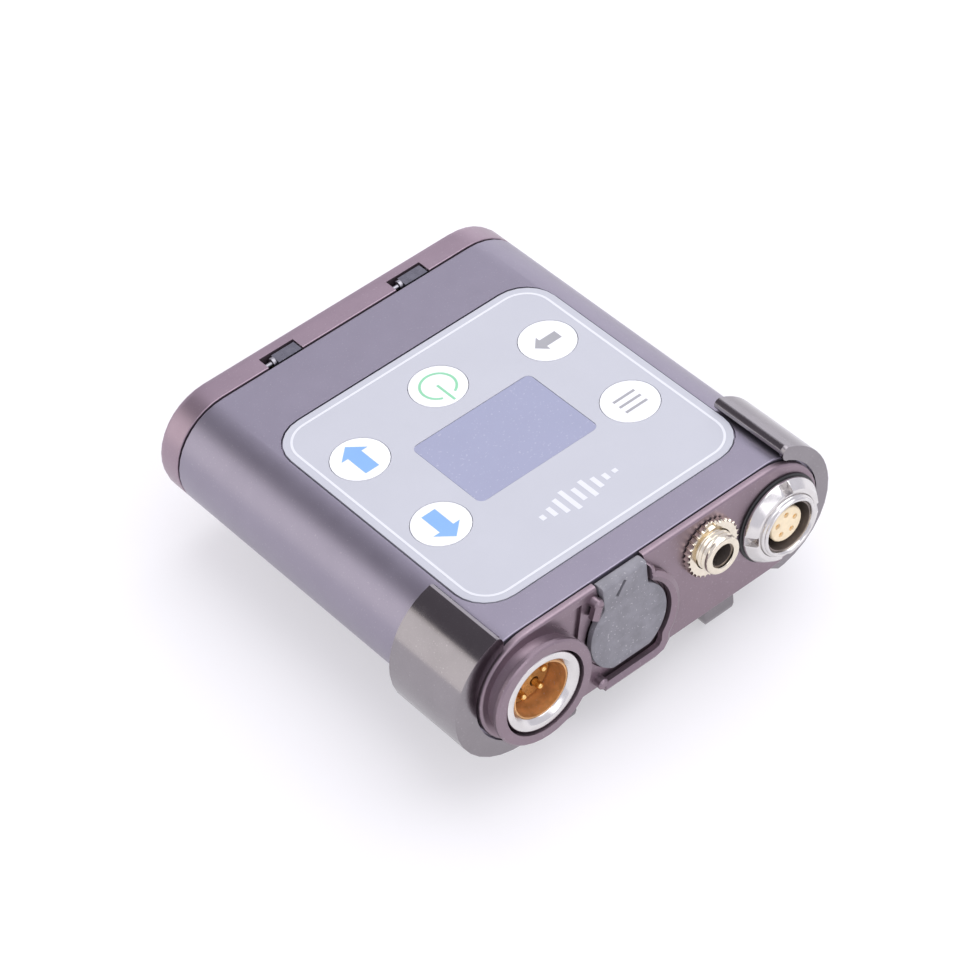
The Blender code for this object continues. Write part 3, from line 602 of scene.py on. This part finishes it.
sync_shell = turned("sync_shell", "timecode_socket_shell", RIM, steps=96)
settle(sync_shell, "case", "nickel", "timecode_socket_shell")
sync_liner = turned("sync_liner", "timecode_socket_shell", SYNC_LINING, steps=72)
settle(sync_liner, "case", "nickel", look="grey_brown")
sync_floor = turned("sync_floor", "timecode_socket_shell", SYNC_FLOOR, steps=64)
settle(sync_floor, "case", "black_plastic")

sync_nut = turned("sync_nut", "timecode_socket_nut", BEVELLED_NUT, steps=96)
sync_middle, sync_front = centre("timecode_socket_nut"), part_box("timecode_socket_nut")[0].y
for index in range(SLOT_COUNT):
    turn = 2 * pi / SLOT_COUNT * index - SLOT_TURN
    along, across = Vector((cos(turn), sin(turn))), Vector((-sin(turn), cos(turn)))
    slot_outline = [(sync_middle.x + (along.x * r + across.x * w) * MM,
                     sync_middle.z + (along.y * r + across.y * w) * MM) for r, w in SLOT_CORNERS]
    slot_floor = sync_front + SLOT_DEPTH * MM
    cutter = plate("nut_slot", slot_outline, sync_front - MM, slot_floor, "Y")
    merge(sync_nut, cutter, "DIFFERENCE")
round_edges(sync_nut, SYNC_NUT_EDGE, SYNC_NUT_ANGLE)
settle(sync_nut, "case", "nickel", "timecode_socket_nut")
washer = turned("sync_washer", "timecode_washer", WASHER, steps=72)
settle(washer, "case", "black_plastic", "timecode_washer")

# %% The sockets' inserts and the five contacts
sync_insert = refined("timecode_insert", "sync_insert", INSERT_EDGE)
settle(sync_insert, "case", "cream", "timecode_insert")
for index in range(CONTACT_COUNT):
    turn = radians(CONTACT_FIRST + 360 / CONTACT_COUNT * index)
    aside = (CONTACT_CIRCLE * cos(turn), CONTACT_CIRCLE * sin(turn))
    name = f"sync_contact_{index + 1}"
    contact = turned(name, "timecode_insert", CONTACT, steps=20, aside=aside)
    settle(contact, "case", "gold", look="contact_gold")
mic_insert = refined("mic_socket_insert", "mic_insert", INSERT_EDGE)
settle(mic_insert, "case", "amber", "mic_socket_insert")

# %% [markdown]
# ## Hinge pins
# Each door hinge is a steel pin under a dark strap. The pin gets a thicker collar in the notch
# beside the strap, where it can be seen.

# %% Door hinge pins
HINGE_PIN_RADIUS, COLLAR_RADIUS, COLLAR_LENGTH, COLLAR_GAP = 0.34, 0.78, 0.55, 0.06
HINGE_PIN_EDGE = 0.06


def rod_along_x(start, end, level, radius, sides):
    """A rod between two places along X, at the height and depth of the level point."""
    bpy.ops.object.select_all(action="DESELECT")
    place = ((start + end) / 2, level.y, level.z)
    bpy.ops.mesh.primitive_cylinder_add(vertices=sides, radius=radius * MM, depth=end - start,
                                        location=place, rotation=(0, pi / 2, 0))
    return bpy.context.object


for side in ("left", "right"):
    node = "hinge_pin_" + side
    low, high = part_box(node)
    pin = rod_along_x(low.x, high.x, centre(node), HINGE_PIN_RADIUS, sides=32)
    pin.name = "door_pin_" + side
    collar_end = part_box("hinge_strap_" + side)[0].x - COLLAR_GAP * MM
    collar_start = collar_end - COLLAR_LENGTH * MM
    collar = rod_along_x(collar_start, collar_end, centre(node), COLLAR_RADIUS, sides=40)
    merge(pin, collar, "UNION")
    only(pin)
    bpy.ops.object.transform_apply(location=True, rotation=True, scale=True)
    round_edges(pin, HINGE_PIN_EDGE)
    settle(pin, "case", "steel", node, look="pin_steel")

# %% [markdown]
# ## Floor, light and camera
# A pale floor and wide soft lights keep the shadows faint, as on a product table. The floor's
# paper also glows a little itself. This is painted light with no lamp behind it: it keeps the floor
# as bright as the room behind it, lifts the pack's cast shadow, and lights the pack's undersides
# from below. Satin metal shows what it reflects, so the room is drawn with care: near white all
# round, with one grey card up behind the pack, a little to the left, that puts the dark band on the
# case's shoulder. A large lamp hangs overhead, a warm strip and a weaker one stand low at the back
# to light the sides, and a small lamp fills the front.

# %% Floor
FLOOR_SIZE, PAPER_MOTTLE, PAPER_ROUGHNESS = 6.0, 60.0, 0.9
PAPER_DARK, PAPER_LIGHT = (0.47, 0.465, 0.475), (0.49, 0.485, 0.49)
# Painted light: the paper's own glow, with no lamp behind it, lightens the shadow under the pack
# and lights the pack from below.
PAPER_SHADOW_LIFT_GLOW, PAPER_SHADOW_LIFT_STRENGTH = (0.98, 0.97, 1.0, 1.0), 0.47
bpy.ops.object.select_all(action="DESELECT")
bpy.ops.mesh.primitive_plane_add(size=FLOOR_SIZE)
floor = bpy.context.object
floor.name = "floor"
floor_finish, floor_tree, floor_shader, floor_coords = shader_nodes("floor_paper")
paper_noise = noise(floor_tree, floor_coords, PAPER_MOTTLE)
paper = blend(floor_tree, paper_noise, PAPER_DARK, PAPER_LIGHT)
floor_tree.links.new(paper, floor_shader.inputs["Base Color"])
floor_shader.inputs["Roughness"].default_value = PAPER_ROUGHNESS
floor_shader.inputs["Emission Color"].default_value = PAPER_SHADOW_LIFT_GLOW
floor_shader.inputs["Emission Strength"].default_value = PAPER_SHADOW_LIFT_STRENGTH
floor.data.materials.append(floor_finish)

# %% Lamps
LAMP_TARGET = Vector((0, 0, 0.01))
WHITE, WARM = (1.0, 1.0, 1.0), (1.0, 0.96, 0.82)
LAMPS = [
    ("overhead", (0.40, -0.10, 1.2), (1.6, 1.3), 1.6, WHITE),
    ("left_strip", (-0.76, 0.574, 0.31), (1.0, 0.72), 0.82, WARM),
    ("right_strip", (0.75, 0.56, 0.25), (0.9, 0.5), 0.55, WHITE),
    ("front_fill", (-0.2, -0.9, 0.6), (0.7, 0.5), 1.0, WHITE),
]


def softbox(name, place, size, glow, colour):
    """A flat lamp that faces the pack. Its glow is the brightness that a mirror would show."""
    bpy.ops.object.light_add(type="AREA", location=place)
    lamp = bpy.context.object
    lamp.name = name
    lamp.data.shape = "RECTANGLE"
    lamp.data.size, lamp.data.size_y = size
    lamp.data.energy = glow * pi * size[0] * size[1]
    lamp.data.color = colour
    lamp.rotation_euler = (LAMP_TARGET - Vector(place)).to_track_quat("-Z", "Y").to_euler()


for lamp in LAMPS:
    softbox(*lamp)

# %% Room
ROOM_COLOUR, CARD_COLOUR, ROOM_STRENGTH = (0.93, 0.92, 1.02), (0.23, 0.21, 0.24), 0.85
CARD_DIRECTION = Vector((-0.29, 0.574, 0.765)).normalized()
CARD_EDGE = (0.92, 0.96)  # cosines of the angle from the card's middle
world = bpy.data.worlds.new("studio")
world.use_nodes = True
sky = world.node_tree
direction = sky.nodes.new("ShaderNodeTexCoord").outputs["Generated"]
towards = sky.nodes.new("ShaderNodeVectorMath")
towards.operation = "DOT_PRODUCT"
sky.links.new(direction, towards.inputs[0])
towards.inputs[1].default_value = CARD_DIRECTION
card = remap(sky, towards.outputs["Value"], CARD_EDGE, WHOLE)
room = blend(sky, card, ROOM_COLOUR, CARD_COLOUR)
sky.links.new(room, sky.nodes["Background"].inputs["Color"])
sky.nodes["Background"].inputs["Strength"].default_value = ROOM_STRENGTH
bpy.context.scene.world = world
bpy.context.scene.view_settings.view_transform = "Standard"

# %% Camera
CAMERA_PLACE = (-0.21133, -0.29951, 0.37034)
CAMERA_TURN = (0.79830, 0.08627, -0.69441)
CAMERA_LENS, CAMERA_SENSOR, NEAREST = 147.164, 36.0, 0.02
bpy.ops.object.camera_add(location=CAMERA_PLACE, rotation=CAMERA_TURN)
camera = bpy.context.object
camera.data.sensor_width = CAMERA_SENSOR
camera.data.lens = CAMERA_LENS
camera.data.clip_start = NEAREST
bpy.context.scene.camera = camera
print("camera", [round(v, 3) for v in camera.location])
